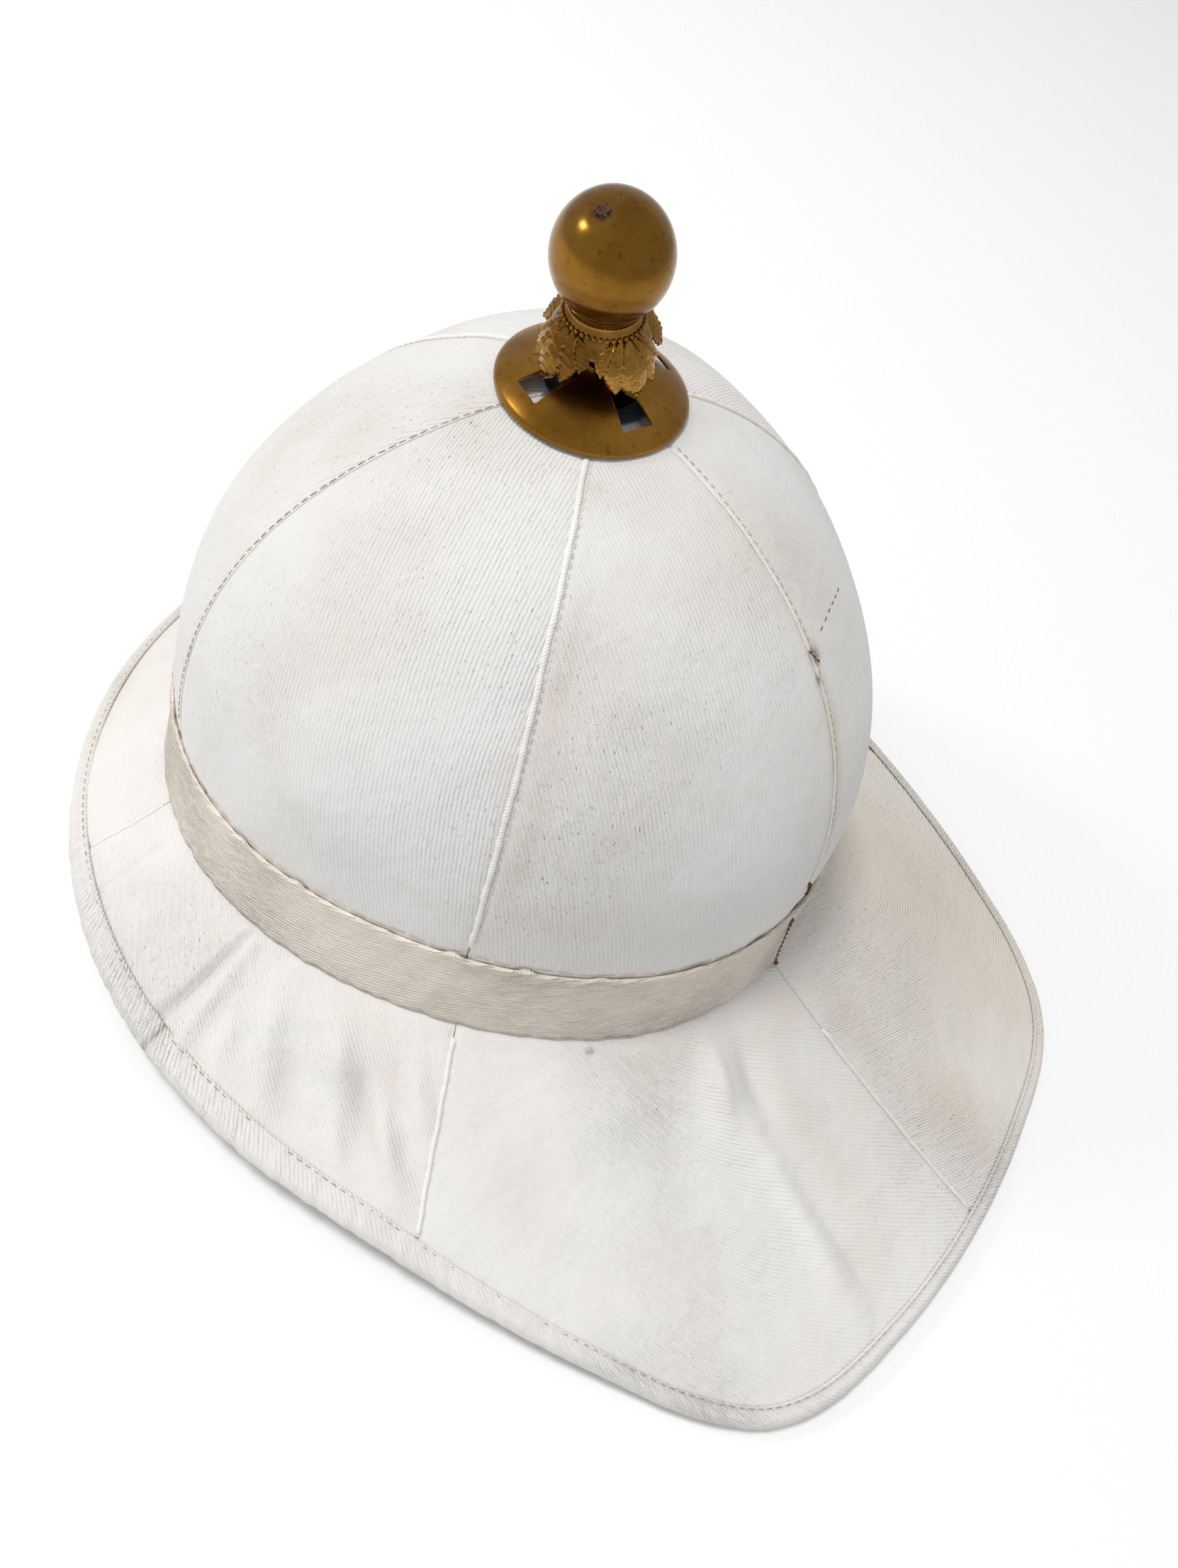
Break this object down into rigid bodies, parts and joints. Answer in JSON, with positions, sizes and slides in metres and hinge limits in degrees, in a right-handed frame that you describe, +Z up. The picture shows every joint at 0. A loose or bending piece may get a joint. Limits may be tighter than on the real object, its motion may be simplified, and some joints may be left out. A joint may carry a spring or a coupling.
{
  "type": "pith helmet",
  "caption": "Cloth-covered pith sun helmet with a long neck guard, a folded hat band, a bound brim and a brass vent plate carrying a leafed ball finial.",
  "frame": {"origin": "on the surface the helmet stands on, below the middle of its box", "axes": "+Z up, +Y towards the short front peak, -Y towards the long neck guard"},
  "size_m": [0.3114, 0.3738, 0.2405],
  "materials": {
    "pith": "moulded pith shell, matt, with a plain cloth face inside",
    "crown_cloth": "white cotton drill, fine diagonal twill, slightly soiled",
    "brim_cloth": "white to tan cotton drill, creased and stained",
    "welt_cloth": "narrow folded cotton welt",
    "band_cloth": "beige cotton twill strip, folded upper edge",
    "binding_cloth": "folded twill edging, worn",
    "aged_brass": "aged brass, brown patina with polished high spots",
    "dark_zinc": "dull dark blue-grey metal"
  },
  "bodies": {
    "root": {"crown_gore_1": "crown_cloth", "crown_welt_1": "welt_cloth", "brim_panel_1": "brim_cloth", "brim_welt_1": "welt_cloth", "crown_gore_2": "crown_cloth", "crown_welt_2": "welt_cloth", "brim_panel_2": "brim_cloth", "brim_welt_2": "welt_cloth", "crown_gore_3": "crown_cloth", "crown_welt_3": "welt_cloth", "brim_panel_3": "brim_cloth", "brim_welt_3": "welt_cloth", "crown_gore_4": "crown_cloth", "crown_welt_4": "welt_cloth", "brim_panel_4": "brim_cloth", "brim_welt_4": "welt_cloth", "crown_gore_5": "crown_cloth", "crown_welt_5": "welt_cloth", "brim_panel_5": "brim_cloth", "brim_welt_5": "welt_cloth", "crown_gore_6": "crown_cloth", "crown_welt_6": "welt_cloth", "brim_panel_6": "brim_cloth", "brim_welt_6": "welt_cloth", "pith_shell": "pith", "hat_band": "band_cloth", "edge_binding": "binding_cloth", "vent_plate": "aged_brass", "vent_collar": "dark_zinc", "leaf_collar": "aged_brass", "ball_knob": "aged_brass", "hidden_post": "aged_brass"}
  },
  "joints": []
}
